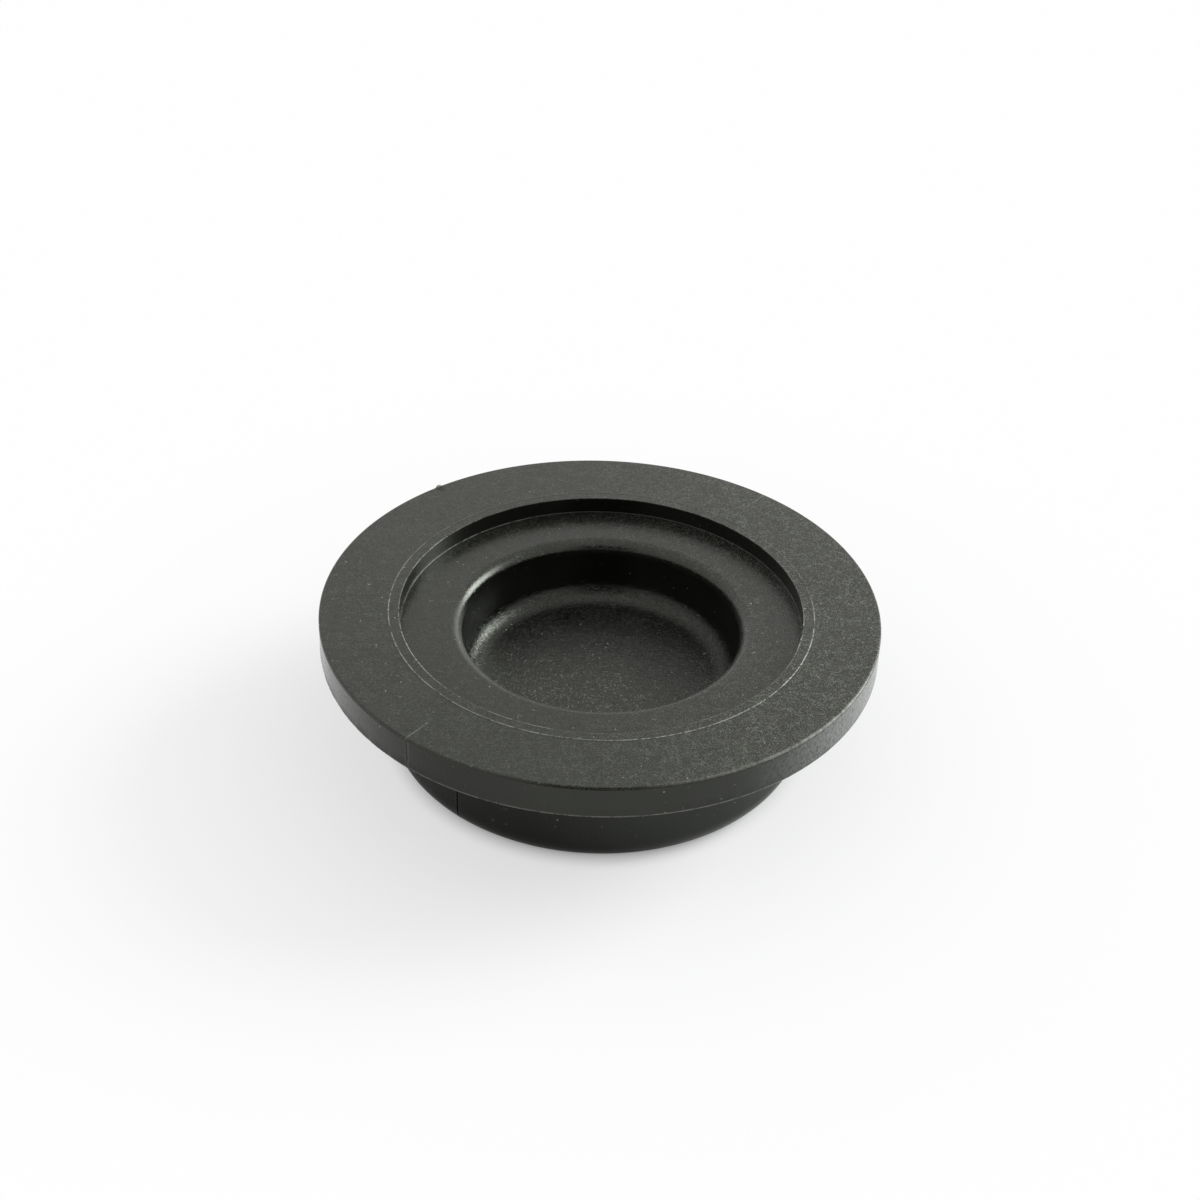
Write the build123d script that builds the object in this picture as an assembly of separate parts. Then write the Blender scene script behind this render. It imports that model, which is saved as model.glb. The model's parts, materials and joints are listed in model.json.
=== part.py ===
from build123d import *

import os
from math import radians, tan

# Flange plug: one moulded piece, turned about Z. Millimetres and degrees.
# The origin is the centre of the plug body's flat end, with +Z up through
# the flange, so the part stands on z = 0 as it does on a bench.

# Overall
overall_height = 16.3  # flat end of the plug body to the top of the flange
draft_angle = 1.0  # lets the core leave the well

# Flange
flange_diameter = 60.0
flange_thickness = 3.8
flange_edge_break = 0.2  # chamfer on both outer edges

# Plug body, which fills the hole
body_diameter = 45.7
body_end_round = 2.6

# Round recess in the top of the flange
recess_diameter = 43.2
recess_depth = 1.85

# Insert ring: the fine raised line that the core's edge leaves on the flange
insert_land = 1.15  # recess edge to the middle of the ring
insert_ring_width = 0.16
insert_ring_height = 0.05

# Well in the middle of the recess
well_diameter = 30.0  # at its mouth, before the rim is rounded
well_depth = 7.15  # below the recess floor
well_rim_round = 1.3
well_floor_fillet = 2.35

# Places worked out from the sizes above
flange_radius = flange_diameter / 2
body_radius = body_diameter / 2
recess_radius = recess_diameter / 2
ring_radius = recess_radius + insert_land
seat_height = overall_height - flange_thickness
recess_floor_height = overall_height - recess_depth
well_floor_height = recess_floor_height - well_depth
well_mouth_radius = well_diameter / 2
well_foot_radius = well_mouth_radius - well_depth * tan(radians(draft_angle))


def vertex_at(section, corner):
    """The vertex of the section that lies at the given place."""
    return section.vertices().sort_by_distance(Vector(*corner))[0]


def half_section():
    """The plug's section on one side of its axis, as (radius, height)."""
    end_edge = (body_radius, 0)
    rim_foot = (flange_radius, seat_height)
    rim_head = (flange_radius, overall_height)
    recess_corner = (recess_radius, recess_floor_height)
    well_mouth = (well_mouth_radius, recess_floor_height)
    well_foot = (well_foot_radius, well_floor_height)
    section = make_face(
        Polyline(
            (0, 0),
            end_edge,
            (body_radius, seat_height),
            rim_foot,
            rim_head,
            (ring_radius + insert_ring_width / 2, overall_height),
            (ring_radius, overall_height + insert_ring_height),
            (ring_radius - insert_ring_width / 2, overall_height),
            (recess_radius, overall_height),
            recess_corner,
            well_mouth,
            well_foot,
            (0, well_floor_height),
            close=True,
        )
    )
    section = chamfer(vertex_at(section, rim_foot), flange_edge_break)
    section = chamfer(vertex_at(section, rim_head), flange_edge_break)
    section = fillet(vertex_at(section, end_edge), body_end_round)
    section = fillet(vertex_at(section, well_mouth), well_rim_round)
    section = fillet(vertex_at(section, well_foot), well_floor_fillet)
    return section


def make_flange_plug():
    """Turn the section about Z into the whole plug."""
    plug = revolve(Plane.XZ * half_section(), Axis.Z, 360)
    plug.label = "flange_plug"
    return plug


os.makedirs("parts", exist_ok=True)
flange_plug = make_flange_plug()
export_step(flange_plug, "parts/flange_plug.step")
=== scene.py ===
import json
import math
from types import SimpleNamespace

import bpy
from mathutils import Matrix, Vector, noise


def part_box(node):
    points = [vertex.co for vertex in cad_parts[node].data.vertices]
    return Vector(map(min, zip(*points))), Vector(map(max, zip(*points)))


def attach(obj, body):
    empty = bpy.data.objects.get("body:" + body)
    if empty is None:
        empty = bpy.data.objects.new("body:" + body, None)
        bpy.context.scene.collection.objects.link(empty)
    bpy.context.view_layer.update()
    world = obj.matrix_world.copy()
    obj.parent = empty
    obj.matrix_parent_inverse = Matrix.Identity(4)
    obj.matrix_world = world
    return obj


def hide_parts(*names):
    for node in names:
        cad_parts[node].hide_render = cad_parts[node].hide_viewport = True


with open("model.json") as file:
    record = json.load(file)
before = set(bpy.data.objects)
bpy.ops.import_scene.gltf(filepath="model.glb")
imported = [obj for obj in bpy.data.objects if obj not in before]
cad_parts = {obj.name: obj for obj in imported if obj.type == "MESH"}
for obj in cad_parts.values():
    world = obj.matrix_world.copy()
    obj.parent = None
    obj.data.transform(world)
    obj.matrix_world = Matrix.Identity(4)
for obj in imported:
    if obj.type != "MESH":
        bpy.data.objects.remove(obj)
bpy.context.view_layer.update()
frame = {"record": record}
MM = 0.001

# ---------------------------------------------------------------- sizes
# Outer sizes come from the frame; the rest repeats the part's own sizes.

PART_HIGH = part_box("flange_plug")[1]
MOUNTS = {m["name"]: m for m in frame["record"]["mounts"]}

RING_HEIGHT = 0.05 * MM
RING_WIDTH = 0.16 * MM
FLANGE_RADIUS = PART_HIGH.x
TOP = PART_HIGH.z - RING_HEIGHT
BODY_RADIUS = MOUNTS["plug_body"]["dims"]["r_mm"] * MM
SEAT = MOUNTS["flange_seat"]["pos_m"][2]

RECESS_RADIUS = 21.6 * MM
RECESS_FLOOR = TOP - 1.85 * MM
RING_RADIUS = RECESS_RADIUS + 1.15 * MM
WELL_MOUTH = 15.0 * MM
WELL_FLOOR = RECESS_FLOOR - 7.15 * MM
WELL_DRAFT = math.radians(1.0)
WELL_FOOT = WELL_MOUTH - (RECESS_FLOOR - WELL_FLOOR) * math.tan(WELL_DRAFT)
WELL_RIM_ROUND = 1.3 * MM
WELL_FLOOR_FILLET = 2.35 * MM
BODY_END_ROUND = 2.6 * MM

EDGE_ROUND = 0.2 * MM  # outer edges of the flange, broken by 0.2 mm in the part
CRISP_ROUND = 0.06 * MM  # edges that the mould leaves almost sharp
CORNER_WIDTH = 0.13 * MM  # width of the flash in the recess's corner
SLIT = 0.10 * MM  # width of the fine dark line just below the flange's top edge
INSERT_SHIFT = (0.12 * MM, -0.10 * MM)  # the core sat slightly off the axis
INSERT_TAGS = {
    "ring_foot", "ring", "inner_foot", "land", "mouth", "wall", "corner", "corner_flash",
    "recess", "well_rim", "well", "well_foot", "floor",
}

STATIONS = 930  # faces round the plug
SEAMS = (math.radians(-128.5), math.radians(51.5))
SEAM_OFFSETS = (-0.30, -0.16, -0.07, 0.0, 0.07, 0.16, 0.30)  # degrees


# ---------------------------------------------------------------- section


def arc(centre, radius, start, end, steps, tag):
    """Points along a round of the section, from one angle in degrees to another."""
    points = []
    for i in range(steps + 1):
        angle = math.radians(start + (end - start) * i / steps)
        r = centre[0] + radius * math.cos(angle)
        z = centre[1] + radius * math.sin(angle)
        points.append((r, z, tag))
    return points


def stretch(start, end, tag, rows=1):
    """Points along a straight stretch, with one close inside each end."""
    start, end = Vector(start), Vector(end)
    inset = min(0.08 * MM, (end - start).length * 0.2)
    along = (end - start).normalized() * inset
    points = [start + along]
    for i in range(1, rows):
        points.append(start.lerp(end, i / rows))
    points.append(end - along)
    return [(p.x, p.y, tag) for p in points]


def body_rows():
    """From the middle of the plug's flat end up to the flange's lower face."""
    b = BODY_END_ROUND
    rows = [(BODY_RADIUS * 0.5, 0.0, "end")]
    rows += stretch((BODY_RADIUS * 0.5, 0), (BODY_RADIUS - b, 0), "end")
    rows += arc((BODY_RADIUS - b, b), b, -90, 0, 9, "body")
    rows += stretch((BODY_RADIUS, b), (BODY_RADIUS, SEAT), "body", 6)
    rows += [(BODY_RADIUS, SEAT, "seat")]
    return rows


def flange_rows():
    """The flange's lower face, its rim and its top as far as the fine ring."""
    e = EDGE_ROUND
    slit_foot = TOP - e - SLIT
    rows = stretch((BODY_RADIUS, SEAT), (FLANGE_RADIUS - e, SEAT), "seat")
    rows += arc((FLANGE_RADIUS - e, SEAT + e), e, -90, 0, 5, "parting")
    rows += stretch((FLANGE_RADIUS, SEAT + e), (FLANGE_RADIUS, slit_foot), "rim", 3)
    rows += [
        (FLANGE_RADIUS, slit_foot, "rim"),
        (FLANGE_RADIUS, TOP - e - 0.7 * SLIT, "slit"),
        (FLANGE_RADIUS, TOP - e - 0.3 * SLIT, "slit"),
    ]
    rows += arc((FLANGE_RADIUS - e, TOP - e), e, 0, 90, 6, "lip")
    rows += stretch((FLANGE_RADIUS - e, TOP), (RING_RADIUS + RING_WIDTH / 2, TOP), "face", 5)
    return rows


def ring_rows():
    """The fine raised ring, the land inside it and the edge of the recess."""
    c = CRISP_ROUND
    half = RING_WIDTH / 2
    rows = [
        (RING_RADIUS + half, TOP, "ring_foot"),
        (RING_RADIUS + half * 0.4, TOP + RING_HEIGHT * 0.6, "ring"),
        (RING_RADIUS, TOP + RING_HEIGHT, "ring"),
        (RING_RADIUS - half * 0.4, TOP + RING_HEIGHT * 0.6, "ring"),
        (RING_RADIUS - half, TOP, "inner_foot"),
    ]
    rows += stretch((RING_RADIUS - half, TOP), (RECESS_RADIUS + c, TOP), "land")
    rows += arc((RECESS_RADIUS + c, TOP - c), c, 90, 180, 3, "mouth")
    return rows


def recess_rows():
    """The recess: its wall, the flash in its corner and its floor."""
    corner = RECESS_RADIUS - CORNER_WIDTH
    rows = stretch((RECESS_RADIUS, TOP - CRISP_ROUND), (RECESS_RADIUS, RECESS_FLOOR), "wall")
    rows += [
        (RECESS_RADIUS, RECESS_FLOOR, "corner"),
        (RECESS_RADIUS - 0.06 * MM, RECESS_FLOOR + 0.03 * MM, "corner_flash"),
        (corner, RECESS_FLOOR, "corner"),
    ]
    rows += stretch(
        (corner, RECESS_FLOOR), (WELL_MOUTH + WELL_RIM_ROUND, RECESS_FLOOR), "recess", 3
    )
    return rows


def well_rows():
    """The well, from its rounded rim to near the middle of its floor."""
    w = WELL_RIM_ROUND
    f = WELL_FLOOR_FILLET
    rows = arc((WELL_MOUTH + w, RECESS_FLOOR - w), w, 90, 179, 14, "well_rim")
    rows += stretch((WELL_MOUTH, RECESS_FLOOR - w), (WELL_FOOT, WELL_FLOOR + f), "well", 3)
    rows += arc((WELL_FOOT - f, WELL_FLOOR + f), f, 0, -90, 12, "well_foot")
    rows += stretch((WELL_FOOT - f, WELL_FLOOR), (WELL_FOOT * 0.4, WELL_FLOOR), "floor")
    rows += [(WELL_FOOT * 0.4, WELL_FLOOR, "floor")]
    return rows


def section():
    """The plug's section from near the middle of its flat end to the middle of the well."""
    return body_rows() + flange_rows() + ring_rows() + recess_rows() + well_rows()


# ---------------------------------------------------------------- moulding marks, and painted highlights and sheen


def round_noise(angle, detail, seed):
    """Noise from about -1 to 1 that closes on itself round the plug."""
    at = Vector((math.cos(angle) * detail, math.sin(angle) * detail, seed))
    return noise.noise(at) * 1.6


def turn_between(a, b):
    """The smallest turn between two angles, in radians."""
    return abs((a - b + math.pi) % (2 * math.pi) - math.pi)


def near_angle(angle, degrees, spread):
    """1 at an angle given in degrees, falling smoothly to 0 at the spread on each side."""
    x = min(1.0, turn_between(angle, math.radians(degrees)) / math.radians(spread))
    return (1 - x * x) ** 2


def clamp(value):
    return max(0.0, min(1.0, value))


def seam_side(angle, radius):
    """How far round the plug a place lies past the nearest mould seam."""
    turns = [(angle - s + math.pi) % (2 * math.pi) - math.pi for s in SEAMS]
    return min(turns, key=abs) * radius


def seam_height(angle, radius):
    """How far the mould seam stands out, 0 to 1."""
    gap = min(turn_between(angle, s) for s in SEAMS) * radius
    return clamp(1 - gap / (0.09 * MM))


def by_angle(angle, table):
    """A value read from a table of (degrees, value) pairs that rises from -180."""
    at = math.degrees(angle)
    for (a, low), (b, high) in zip(table, table[1:]):
        if at <= b:
            return low + (high - low) * (at - a) / (b - a)
    return table[-1][1]


def ragged(angle, seed, fill=0.5):
    """Broken bits along an edge, 0 to 1: runs of a few millimetres with fine breaks."""
    runs = 0.9 * round_noise(angle, 16, seed)
    bits = 0.8 * round_noise(angle, 75, seed + 4.0) + 0.6 * round_noise(angle, 170, seed + 9.0)
    return clamp(fill + runs + bits)


# How strong each mark is round the plug, as (degrees, value) pairs; 0 degrees is +X.
RING_FLASH = (
    (-180, 0.70), (-170, 0.60), (-150, 0.60), (-120, 0.60), (-105, 0.80), (-92, 0.55),
    (-75, 1.0), (-60, 0.75), (-45, 0.95), (-30, 1.0), (-4, 0.80), (10, 0.20),
    (90, 0.08), (140, 0.14), (160, 0.35), (180, 0.55),
)
LAND_STEP = (
    (-180, 0.6), (-150, 1.0), (-100, 0.8), (-60, 0.2), (-20, 0.0), (130, 0.0), (180, 0.6),
)
MOUTH_FLASH = (
    (-180, 0.25), (-168, 0.55), (-155, 0.95), (-143, 0.60), (-132, 0.10), (-124, 0.15),
    (-118, 0.60), (-106, 0.55), (-100, 0.10), (-70, 0.15), (-60, 0.40), (-50, 0.15),
    (-30, 0.15), (-20, 0.65), (-4, 0.65), (6, 0.20), (120, 0.05), (150, 0.30), (180, 0.25),
)
PARTING_FLASH_AND_REFLECTION = (
    (-180, 0.9), (-120, 1.0), (-60, 0.9), (-25, 0.5), (0, 0.2), (150, 0.2), (180, 0.9),
)
LIP_FLASH_AND_HIGHLIGHT = (
    (-180, 0.0), (-82, 0.0), (-66, 0.45), (-45, 0.8), (-28, 0.7), (-14, 0.0), (180, 0.0),
)
LIP_SLIT = (
    (-180, 0.4), (-160, 1.0), (-60, 1.0), (-25, 0.4), (-5, 0.0), (160, 0.0), (180, 0.4),
)
RIM_SHEEN = (
    (-180, 0.7), (-165, 1.0), (-140, 1.1), (-110, 1.0), (-60, 0.9), (-30, 0.5),
    (0, 0.4), (20, 0.1), (130, 0.0), (165, 0.05), (180, 0.7),
)

# Each mark below gives how far its point moves out and up, in mm, and how pale it is; some of
# that paleness is painted highlight and painted sheen.


def side_mark(row, angle, seam):
    """The mould seam down the rim and the body: a fine ridge with a groove beside it."""
    if not seam:
        return 0.0, 0.0, 0.0
    groove = clamp(1 - abs(seam_side(angle, row[0]) - 0.05 * MM) / (0.06 * MM))
    # On the rim the ridge beside the groove is painted paler: a painted highlight on its lit
    # side.
    pale = 0.10 * seam * (1 - groove) if row[2] == "rim" else 0.0
    return 0.03 * seam - 0.32 * groove, 0.0, pale


def slit_mark(row, angle, seam):
    """The fine dark line under the flange's top edge."""
    return -0.25 * by_angle(angle, LIP_SLIT), 0.0, 0.0


def lip_mark(row, angle, seam):
    """Flash along the flange's top edge and the one burr on it; on the near right the flash's
    paleness is partly a painted highlight of the light on that edge.
    """
    burr = near_angle(angle, 130, 0.9)
    flash = by_angle(angle, LIP_FLASH_AND_HIGHLIGHT) * (0.35 + 0.65 * ragged(angle, 11.0, 0.8))
    out = 0.03 * flash + 0.12 * burr + 0.04 * seam
    return out, 0.02 * flash + 0.22 * burr, max(0.55 * flash, burr, 0.3 * seam)


def parting_mark(row, angle, seam):
    """Flash where the mould's halves met, at the flange's lower edge; its paleness is partly a
    painted reflection of the bright floor in that edge.
    """
    flash = by_angle(angle, PARTING_FLASH_AND_REFLECTION) * ragged(angle, 51.0, 0.8)
    return 0.03 * flash + 0.04 * seam, 0.0, max(0.22 * flash, 0.3 * seam)


def face_mark(row, angle, seam):
    """The mould seam's short run onto the flange's top."""
    reach = clamp((row[0] - FLANGE_RADIUS + 3.2 * MM) / (0.8 * MM))
    return 0.0, 0.03 * seam * reach, 0.35 * seam * reach


def land_mark(row, angle, seam):
    """The land stands a little proud of the flange on the near left."""
    return 0.0, 0.035 * by_angle(angle, LAND_STEP), 0.0


def ring_mark(row, angle, seam):
    """Broken flash and a few crumbs on the fine ring."""
    flash = by_angle(angle, RING_FLASH) * ragged(angle, 3.0, 0.7)
    crumb = near_angle(angle, 183, 9) * clamp(2.2 * round_noise(angle, 95, 8.0))
    out = 0.02 * round_noise(angle, 70, 21.0) + 0.08 * crumb
    up = land_mark(row, angle, seam)[1] + 0.03 * (flash - 0.5) + 0.08 * crumb
    return out, up, max(0.95 * flash, crumb)


def mouth_mark(row, angle, seam):
    """Broken flash and crumbs on the edge of the recess."""
    flash = by_angle(angle, MOUTH_FLASH) * ragged(angle, 41.0, 0.75)
    crumb = near_angle(angle, -10, 15) * clamp(2.6 * round_noise(angle, 95, 13.0))
    up = land_mark(row, angle, seam)[1] + 0.02 * flash + 0.04 * crumb
    return -0.06 * crumb, up, max(flash, crumb)


def corner_mark(row, angle, seam):
    """Flash in the recess's corner, on the far left."""
    edge = near_angle(angle, 145, 60) * clamp(0.65 + round_noise(angle, 30, 31.0))
    return 0.0, 0.05 * (edge - 0.5), 0.6 * edge


def well_rim_sheen_mark(row, angle, seam):
    """The well's rim is painted paler below its top: a painted sheen along its crest."""
    below = clamp((RECESS_FLOOR - row[1] - 0.03 * MM) / (0.22 * MM))
    return 0.0, 0.0, 0.24 * by_angle(angle, RIM_SHEEN) * below


MARKS = {
    "rim": side_mark,
    "body": side_mark,
    "slit": slit_mark,
    "lip": lip_mark,
    "parting": parting_mark,
    "face": face_mark,
    "inner_foot": land_mark,
    "land": land_mark,
    "ring": ring_mark,
    "mouth": mouth_mark,
    "corner_flash": corner_mark,
    "well_rim": well_rim_sheen_mark,
}


def mark(row, angle):
    """Moves a point of the section for the marks that moulding left there.

    Gives radius, height and how pale the plastic is there, from 0 to 1, with the painted
    highlights and sheen along some edges included.
    """
    r, z, tag = row
    if tag not in MARKS:
        return r, z, 0.0
    out, up, pale = MARKS[tag](row, angle, seam_height(angle, r))
    return r + out * MM, z + up * MM, pale


def station_angles():
    """Angles round the plug, with more of them across each mould seam."""
    step = 2 * math.pi / STATIONS
    keep_off = math.radians(SEAM_OFFSETS[-1]) + step * 0.4
    angles = []
    for i in range(STATIONS):
        angle = -math.pi + i * step
        if min(turn_between(angle, s) for s in SEAMS) > keep_off:
            angles.append(angle)
    for seam in SEAMS:
        angles += [seam + math.radians(offset) for offset in SEAM_OFFSETS]
    return sorted(angles)


# ---------------------------------------------------------------- the plug's mesh


def insert_share(row):
    """How far a row of the section follows the core's small shift, 0 to 1."""
    if row[2] == "face":
        return clamp((RING_RADIUS + 1.2 * MM - row[0]) / (1.0 * MM))
    return 1.0 if row[2] in INSERT_TAGS else 0.0


def turned_mesh(name, rows, angles):
    """A closed mesh turned from the rows, with a point at each end of the axis.

    Its attribute named pale says how pale the plastic is at each point, with the painted
    highlights and sheen included.
    """
    verts, pale = [], []
    for row in rows:
        share = insert_share(row)
        for angle in angles:
            r, z, white = mark(row, angle)
            x = r * math.cos(angle) + INSERT_SHIFT[0] * share
            y = r * math.sin(angle) + INSERT_SHIFT[1] * share
            verts.append((x, y, z))
            pale.append(white)
    count = len(angles)
    faces = []
    for i in range(len(rows) - 1):
        for j in range(count):
            k = (j + 1) % count
            faces.append(
                (i * count + j, i * count + k, (i + 1) * count + k, (i + 1) * count + j)
            )
    bottom, top = len(verts), len(verts) + 1
    verts += [(0, 0, rows[0][1]), (*INSERT_SHIFT, rows[-1][1])]
    pale += [0.0, 0.0]
    last = (len(rows) - 1) * count
    for j in range(count):
        k = (j + 1) % count
        faces.append((bottom, k, j))
        faces.append((top, last + j, last + k))
    mesh = bpy.data.meshes.new(name)
    mesh.from_pydata(verts, [], faces)
    mesh.polygons.foreach_set("use_smooth", [True] * len(mesh.polygons))
    layer = mesh.attributes.new("pale", "FLOAT", "POINT")
    layer.data.foreach_set("value", pale)
    mesh.update()
    return mesh


# ---------------------------------------------------------------- materials


class Graph:
    """A short way to write a node tree."""

    def __init__(self, tree):
        self.tree = tree

    def add(self, kind, inputs=None, **settings):
        """Adds a node; inputs maps a socket's name or index to a value or an output."""
        made = self.tree.nodes.new(kind)
        for key, value in settings.items():
            setattr(made, key, value)
        for key, value in (inputs or {}).items():
            if isinstance(value, bpy.types.NodeSocket):
                self.tree.links.new(value, made.inputs[key])
            else:
                made.inputs[key].default_value = value
        return made

    def math(self, operation, a, b=0.0, clamped=False):
        made = self.add("ShaderNodeMath", {0: a, 1: b}, operation=operation, use_clamp=clamped)
        return made.outputs[0]

    def plus(self, a, b, clamped=False):
        return self.math("ADD", a, b, clamped)

    def minus(self, a, b, clamped=False):
        return self.math("SUBTRACT", a, b, clamped)

    def times(self, a, b, clamped=False):
        return self.math("MULTIPLY", a, b, clamped)

    def most(self, a, b):
        return self.math("MAXIMUM", a, b)

    def split(self, vector):
        """The three parts of a vector."""
        return self.add("ShaderNodeSeparateXYZ", {0: vector}).outputs

    def vector(self, operation, a, b=None, scale=None, output=0):
        inputs = {0: a}
        if b is not None:
            inputs[1] = b
        if scale is not None:
            inputs["Scale"] = scale
        made = self.add("ShaderNodeVectorMath", inputs, operation=operation)
        return made.outputs[output]

    def remap(self, value, low, high, to_low=0.0, to_high=1.0):
        """A smooth step from to_low at low to to_high at high."""
        ends = {"From Min": low, "From Max": high, "To Min": to_low, "To Max": to_high}
        made = self.add(
            "ShaderNodeMapRange", {"Value": value, **ends}, interpolation_type="SMOOTHSTEP"
        )
        return made.outputs["Result"]

    def noise(self, at, scale, detail=2.0, roughness=0.5, distortion=0.0):
        shape = {"Detail": detail, "Roughness": roughness, "Distortion": distortion}
        made = self.add("ShaderNodeTexNoise", {"Vector": at, "Scale": scale, **shape})
        return made.outputs["Fac"]

    def mix(self, factor, a, b):
        """A blend of two colours, each an output or (red, green, blue)."""
        a, b = ((*c, 1) if isinstance(c, tuple) else c for c in (a, b))
        made = self.add("ShaderNodeMix", {0: factor, 6: a, 7: b}, data_type="RGBA")
        return made.outputs[2]


def stroke_mask(g, at, per_mm, width, seed, fill):
    """Short wandering strokes, like fibres just under the skin, as a 0 to 1 mask."""
    moved = g.vector("ADD", at, (seed, seed * 0.37, seed * 0.71))
    contour = g.noise(moved, per_mm, 1.0, 0.5, 0.5)
    off_line = g.math("ABSOLUTE", g.minus(contour, 0.5))
    line = g.remap(off_line, width * 0.3, width, 1.0, 0.0)
    broken = g.remap(g.noise(moved, per_mm * 1.3, 0.0), fill, fill + 0.08)
    return g.times(line, broken)


def speck_mask(g, at, per_mm, radius, share, shift):
    """Sparse round specks as a 0 to 1 mask."""
    moved = g.vector("ADD", at, (shift, -shift, shift * 0.5))
    cells = g.add(
        "ShaderNodeTexVoronoi", {"Vector": moved, "Scale": per_mm, "Randomness": 1.0}
    )
    distance = g.math("DIVIDE", cells.outputs["Distance"], per_mm)
    spot = g.remap(distance, radius, radius * 0.5)
    drawn = g.add("ShaderNodeSeparateColor", {0: cells.outputs["Color"]}).outputs[1]
    return g.times(spot, g.math("LESS_THAN", drawn, share))


# Colours of the plastic, from its darkest to its palest.
# Painted shade: a darker black for the walls, the recess and the well.
SHADED_BLACK = ((0.0006, 0.0007, 0.0005), (0.0018, 0.0020, 0.0015))  # walls and the well
# Painted light: a paler black for the faces that look up.
LIT_FACE_BLACK = ((0.0012, 0.0018, 0.0006), (0.0050, 0.0056, 0.0036))  # the flange's top
FIBRE_GREY = (0.165, 0.172, 0.147)  # fibres just under the skin
WORN_AND_LIT_GREY = (0.165, 0.175, 0.170)  # the scuffed right side of the rim, painted paler partly as wear and partly as the light that falls on that side
PALE_GREY = (0.42, 0.42, 0.39)  # flash, crumbs and specks, and the painted glints, sheen and highlights
GLOSS_TINT = (0.93, 0.965, 0.85)


def plug_zones(g, at, normal):
    """Where on the plug a place is: masks from 0 to 1, and its place in mm."""
    x, y, z = g.split(at)
    upright = g.split(normal)[2]
    from_axis = g.vector("LENGTH", g.vector("MULTIPLY", at, (1, 1, 0)), output=1)
    top, seat, recess_floor = TOP / MM, SEAT / MM, RECESS_FLOOR / MM

    on_side = g.remap(g.math("ABSOLUTE", upright), 0.5, 0.2)
    on_rim = g.times(on_side, g.remap(from_axis, 28.0, 29.5))
    below_recess = g.remap(z, recess_floor - 0.3, recess_floor - 1.2)
    in_well = g.times(below_recess, g.minus(1.0, g.remap(from_axis, 18.0, 20.0)))
    below_top = g.remap(z, top - 0.6, top - 1.4)
    in_recess = g.times(below_top, g.remap(from_axis, 24.0, 22.0))
    side = g.remap(x, -10.0, 26.0, 0.30, 0.92)
    return SimpleNamespace(
        x=x,
        y=y,
        upright=upright,
        side=side,  # the grain is stronger towards +X, and the fibres painted paler there also stand for the light from that side
        # Fibres and glints are strongest towards +X and on faces that look up: partly the
        # grain, partly painted light.
        strength=g.times(side, g.remap(upright, 0.2, 0.9, 0.03, 1.0)),
        on_rim=on_rim,
        on_body=g.remap(z, seat + 0.1, seat - 0.1),
        scuffed_and_lit=g.times(on_rim, g.remap(x, 13.0, 28.0)),
        in_well=in_well,
        in_recess=in_recess,
        outside=g.minus(1.0, g.most(in_well, g.times(in_recess, 0.45))),
    )


def plug_textures(g, at, zone):
    """The plastic's textures, from broad clouds to single specks."""
    grain = g.noise(at, 8.0, 1.0, 0.6)
    along = g.vector("MULTIPLY", at, (0.35, 0.9, 0.9))
    drawn_out = g.vector("MULTIPLY", at, (0.55, 4.0, 4.0))
    upset = g.vector("MULTIPLY", at, (1.6, 1.6, 1.0))
    coarse = stroke_mask(g, at, 1.7, 0.035, 17.0, 0.52)
    worms = stroke_mask(g, at, 2.3, 0.09, 61.0, 0.43)
    big_specks = speck_mask(g, at, 0.6, 0.13, 0.09, 29.0)
    return SimpleNamespace(
        grain=grain,
        dots=g.remap(grain, 0.57, 0.68),
        mottle=g.noise(at, 1.6, 2.0, 0.6),
        patchy=g.remap(g.noise(at, 0.9, 3.0, 0.65), 0.36, 0.64, 0.4, 1.1),
        cloud=g.noise(at, 0.22, 3.0, 0.55),
        flow=g.noise(along, 0.9, 4.0, 0.6, 1.2),
        streaks=g.noise(drawn_out, 1.0, 3.0, 0.65),
        pits=g.noise(upset, 2.2, 4.0, 0.7, 0.5),
        fibres=g.remap(g.noise(at, 3.0, 2.0, 0.7, 1.5), 0.42, 0.64, 0.0, 0.055),
        strokes=g.most(stroke_mask(g, at, 3.2, 0.075, 3.0, 0.49), coarse),
        worms=g.times(worms, zone.in_well),
        glints=g.remap(g.noise(at, 6.5, 1.0, 0.7), 0.66, 0.73),
        specks=g.most(speck_mask(g, at, 1.9, 0.09, 0.025, 5.0), big_specks),
        scratches=stroke_mask(g, at, 1.1, 0.02, 41.0, 0.72),
    )


def fibre_light(g, zone, look):
    """How much the fibres under the skin lighten it, 0 to 1, with painted light and shade laid
    over them.
    """
    # The worms in the well are painted paler towards its front and darker towards its back:
    # painted light and shade.
    near = g.remap(zone.y, -6.0, 8.0, 3.0, 0.7)
    strokes = g.most(g.times(look.strokes, 0.55), g.times(look.worms, near))
    # Fewer dots in the well: painted shade.
    dots = g.times(look.dots, g.minus(1.1, g.times(zone.in_well, 0.7)))
    light = g.times(g.most(strokes, dots), look.patchy)
    light = g.most(light, g.remap(look.mottle, 0.54, 0.74, 0.0, 0.18))
    # Painted shade: the fibres are dimmed in the well, most on its right, and in the recess.
    well_painted_shade = g.times(zone.in_well, g.remap(zone.x, 0.0, 12.0, 0.45, 0.80))
    inside_painted_shade = g.most(well_painted_shade, g.times(zone.in_recess, 0.28))
    light = g.times(g.times(light, zone.strength), g.minus(1.0, inside_painted_shade), True)

    faces_up = g.remap(zone.upright, 0.6, 0.95)
    streaked = g.times(g.remap(look.streaks, 0.5, 0.75, 0.0, 0.14), faces_up)
    light = g.most(light, g.times(streaked, zone.outside))
    # The faint fibres fade out towards the back of the well: painted shade there.
    deep = g.times(zone.in_well, g.remap(zone.y, -4.0, 8.0))
    return g.plus(light, g.times(look.fibres, g.minus(faces_up, deep, True)), True)


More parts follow.
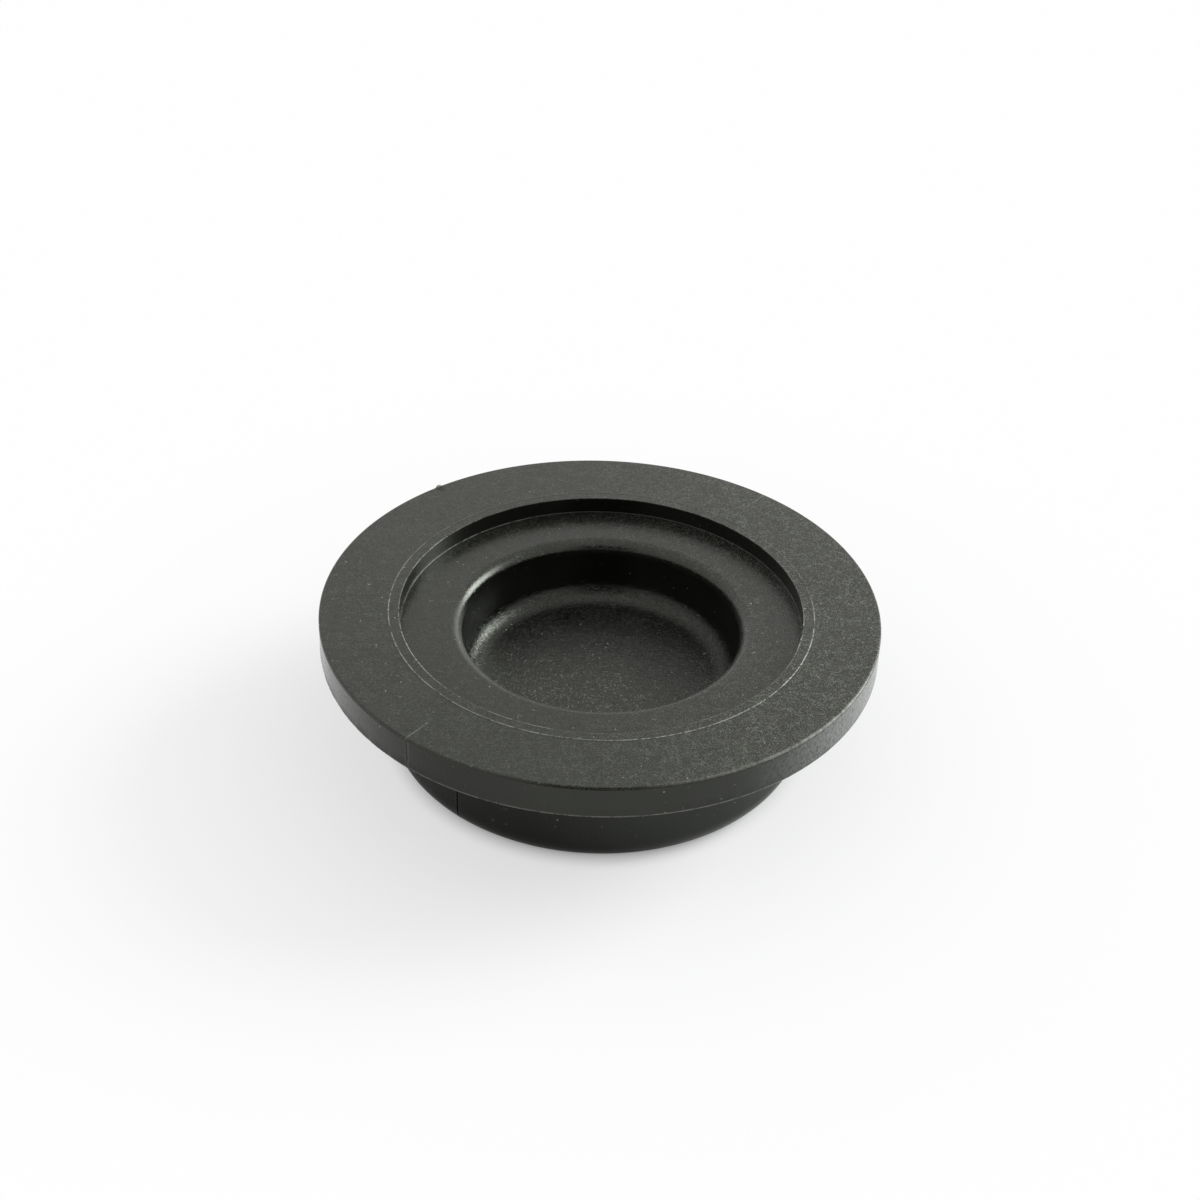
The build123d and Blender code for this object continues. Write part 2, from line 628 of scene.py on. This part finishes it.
def pale_marks(g, zone, look):
    """Specks, scratches and glints, which are fewer at the back and on the sides."""
    marks = g.most(g.times(look.specks, 0.95), g.times(look.scratches, 0.4))
    marks = g.most(marks, g.times(g.times(look.glints, zone.strength), 0.5))
    marks = g.times(marks, g.remap(zone.y, 4.0, 18.0, 1.0, 0.35))
    return g.times(marks, g.remap(zone.upright, 0.2, 0.9, 0.5, 1.0))


def plug_colour(g, zone, look):
    """The plastic's colour: a black painted lighter on upward faces and darker in the hollows,
    its fibres, its worn and lit side and its pale marks.
    """
    clouded = g.remap(look.cloud, 0.35, 0.65)
    # Painted light and shade: upward faces outside the well and recess get the paler black,
    # walls and hollows the darker one.
    lit_face = g.times(g.remap(zone.upright, 0.5, 0.95), zone.outside)
    tone = g.mix(lit_face, g.mix(clouded, *SHADED_BLACK), g.mix(clouded, *LIT_FACE_BLACK))
    tone = g.mix(fibre_light(g, zone, look), tone, FIBRE_GREY)
    # The rim's right side is painted paler: partly real scuffs, partly painted light from the
    # right.
    worn_and_lit = g.times(zone.scuffed_and_lit, g.remap(look.pits, 0.35, 0.57, 0.2, 1.0))
    tone = g.mix(worn_and_lit, tone, WORN_AND_LIT_GREY)
    tone = g.mix(pale_marks(g, zone, look), tone, PALE_GREY)
    # The pale attribute carries flash and crumbs, and the painted sheen and highlights along
    # some edges.
    pale = g.add("ShaderNodeAttribute", attribute_name="pale").outputs["Fac"]
    return g.mix(pale, tone, PALE_GREY)


def plug_roughness(g, zone, look):
    """A dull gloss, a little sharper on the rim and in the well's fillet."""
    rough = g.plus(g.remap(look.cloud, 0.3, 0.7, 0.15, 0.20), g.times(look.grain, 0.08))
    rough = g.minus(rough, g.times(zone.on_rim, 0.03))
    rough = g.plus(rough, g.times(zone.on_body, 0.04))
    fillet = g.times(zone.in_well, g.remap(zone.upright, 0.97, 0.8, 0.0, 0.06))
    return g.minus(rough, fillet)


def plug_height(g, zone, look):
    """The height of the fine relief, for the bump."""
    height = g.plus(g.times(look.grain, 1.2), g.times(look.strokes, 0.4))
    height = g.plus(height, g.times(look.mottle, 0.7))
    height = g.times(height, g.remap(zone.side, 0.0, 1.0, 0.4, 1.0))
    height = g.plus(height, g.times(look.worms, 1.3))
    height = g.plus(height, g.times(g.times(look.flow, zone.in_well), 1.8))
    height = g.plus(height, g.times(g.times(look.grain, zone.in_well), 0.7))
    height = g.times(height, g.remap(zone.upright, 0.1, 0.6, 0.3, 1.0))
    height = g.plus(height, g.times(look.flow, 0.3))
    return g.plus(height, g.times(g.times(look.pits, zone.on_rim), 1.5))


def moulded_black():
    """Fibre-filled black plastic as it leaves the mould."""
    material = bpy.data.materials.new("moulded_black")
    material.use_nodes = True
    g = Graph(material.node_tree)
    shader = material.node_tree.nodes["Principled BSDF"]
    place = g.add("ShaderNodeTexCoord")
    at = g.vector("SCALE", place.outputs["Object"], scale=1 / MM)
    zone = plug_zones(g, at, place.outputs["Normal"])
    look = plug_textures(g, at, zone)

    relief = {"Height": plug_height(g, zone, look), "Strength": 1.0, "Distance": 0.02 * MM}
    bump = g.add("ShaderNodeBump", relief)
    g.tree.links.new(plug_colour(g, zone, look), shader.inputs["Base Color"])
    g.tree.links.new(plug_roughness(g, zone, look), shader.inputs["Roughness"])
    g.tree.links.new(bump.outputs["Normal"], shader.inputs["Normal"])
    shader.inputs["IOR"].default_value = 1.5
    shader.inputs["Specular Tint"].default_value = (*GLOSS_TINT, 1)
    return material


# ---------------------------------------------------------------- pieces


def link(name, mesh, material):
    """Puts a mesh with one material into the scene."""
    made = bpy.data.objects.new(name, mesh)
    made.data.materials.append(material)
    bpy.context.scene.collection.objects.link(made)
    return made


def make_plug():
    """The whole plug as it was moulded, in place of the plain CAD node."""
    mesh = turned_mesh("moulded_plug", section(), station_angles())
    plug = link("moulded_plug", mesh, moulded_black())
    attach(plug, "root")
    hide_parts("flange_plug")
    return plug


# ---------------------------------------------------------------- studio

FLOOR_COLOUR = (0.95, 0.95, 0.95)
FLOOR_HALF = 3.0
FLAG_COLOUR = (0.02, 0.02, 0.02)
FLAG_HALF = 0.15
FLAG_NEAR, FLAG_FAR = (-0.40, 0.1), (-0.35, 0.4)  # y and z of its lower and upper edges

FILL_LEVEL = 0.62
KEY_LEVEL = 3.05
KEY_WIDTH = math.radians(32)
KEY_COLOUR = (0.95, 1.0, 0.975)
KEY_TOWARDS = (0.83, 0.40, 0.38)

CAMERA_DISTANCE = 7.5 * 30 * MM
CAMERA_ELEVATION = math.radians(35.34)
CAMERA_ROLL = math.radians(1.87)
CAMERA_AIM = (-0.075 * MM, 0, 0.79 * MM)  # from the middle of the flange's top
SENSOR = 36.0  # mm
LENS = 63.0  # mm


def sheet(name, corners, material):
    """One flat four-sided face."""
    mesh = bpy.data.meshes.new(name)
    mesh.from_pydata(corners, [], [(0, 1, 2, 3)])
    return link(name, mesh, material)


def white_floor():
    """Matt white that shows the object's shadow lightly, as on an overlit table."""
    material = bpy.data.materials.new("floor")
    material.use_nodes = True
    g = Graph(material.node_tree)
    matt = g.add("ShaderNodeBsdfDiffuse", {"Color": (*FLOOR_COLOUR, 1)})
    glow = g.add("ShaderNodeEmission", {"Color": (1, 1, 1, 1), "Strength": 1.0})
    place = g.add("ShaderNodeTexCoord").outputs["Object"]
    away = g.vector("LENGTH", place, output=1)
    back = g.split(place)[1]
    path = g.add("ShaderNodeLightPath")
    near = g.remap(away, 20 * MM, 24 * MM, 0.1, 0.64)
    far = g.remap(away, 27 * MM, 80 * MM, 0.0, 0.27)
    seen = g.times(path.outputs["Is Camera Ray"], g.plus(near, far))
    # In reflections the floor away from the plug glows brighter towards the back: painted
    # light standing in for the bright window behind.
    open_floor = g.remap(away, 30 * MM, 38 * MM)
    shown = g.times(open_floor, g.remap(back, -40 * MM, 5 * MM, 0.2, 1.0))
    part = g.plus(seen, g.times(path.outputs["Is Glossy Ray"], shown))
    both = g.add("ShaderNodeMixShader", {0: part, 1: matt.outputs[0], 2: glow.outputs[0]})
    out = material.node_tree.nodes["Material Output"]
    g.tree.links.new(both.outputs[0], out.inputs["Surface"])
    return material


def make_floor():
    h = FLOOR_HALF
    corners = [(-h, -h, 0), (h, -h, 0), (h, h, 0), (-h, h, 0)]
    sheet("floor", corners, white_floor())


def dark_card():
    """A dull dark colour, for the flag."""
    material = bpy.data.materials.new("flag")
    material.use_nodes = True
    shader = material.node_tree.nodes["Principled BSDF"]
    shader.inputs["Base Color"].default_value = (*FLAG_COLOUR, 1)
    shader.inputs["Roughness"].default_value = 0.9
    shader.inputs["Specular IOR Level"].default_value = 0.0
    return material


def make_flag():
    """A dark card behind the camera, as the photographer is."""
    h = FLAG_HALF
    corners = [(-h, *FLAG_NEAR), (h, *FLAG_NEAR), (h, *FLAG_FAR), (-h, *FLAG_FAR)]
    card = sheet("flag", corners, dark_card())
    card.visible_camera = False
    card.visible_diffuse = False
    card.visible_shadow = False


def make_world():
    """White for the camera and in reflections, and a plain level of fill light."""
    world = bpy.data.worlds.new("studio")
    bpy.context.scene.world = world
    world.use_nodes = True
    g = Graph(world.node_tree)
    path = g.add("ShaderNodeLightPath").outputs
    seen = g.most(path["Is Camera Ray"], path["Is Glossy Ray"])
    seen = g.most(seen, path["Is Transmission Ray"])
    background = world.node_tree.nodes["Background"]
    background.inputs["Color"].default_value = (1, 1, 1, 1)
    g.tree.links.new(g.remap(seen, 0.0, 1.0, FILL_LEVEL, 1.0), background.inputs["Strength"])


def make_key():
    """A wide soft light from behind and to the right, like a large window."""
    data = bpy.data.lights.new("window", "SUN")
    data.energy = KEY_LEVEL
    data.angle = KEY_WIDTH
    data.color = KEY_COLOUR
    key = bpy.data.objects.new("window", data)
    key.rotation_euler = Vector(KEY_TOWARDS).to_track_quat("Z", "Y").to_euler()
    bpy.context.scene.collection.objects.link(key)


def make_camera():
    """The main view: 35 degrees above the bench, with a slight roll."""
    middle = Vector((0, 0, TOP))
    towards = Vector((0, -math.cos(CAMERA_ELEVATION), math.sin(CAMERA_ELEVATION)))
    place = middle + towards * CAMERA_DISTANCE
    aim = middle + Vector(CAMERA_AIM)
    data = bpy.data.cameras.new("camera")
    data.sensor_width = SENSOR
    data.lens = LENS
    camera = bpy.data.objects.new("camera", data)
    turn = (place - aim).to_track_quat("Z", "Y").to_matrix().to_4x4()
    camera.matrix_world = (
        Matrix.Translation(place) @ turn @ Matrix.Rotation(CAMERA_ROLL, 4, "Z")
    )
    bpy.context.scene.collection.objects.link(camera)
    bpy.context.scene.camera = camera


make_plug()
make_floor()
make_flag()
make_world()
make_key()
make_camera()

bpy.context.scene.view_settings.view_transform = "Standard"
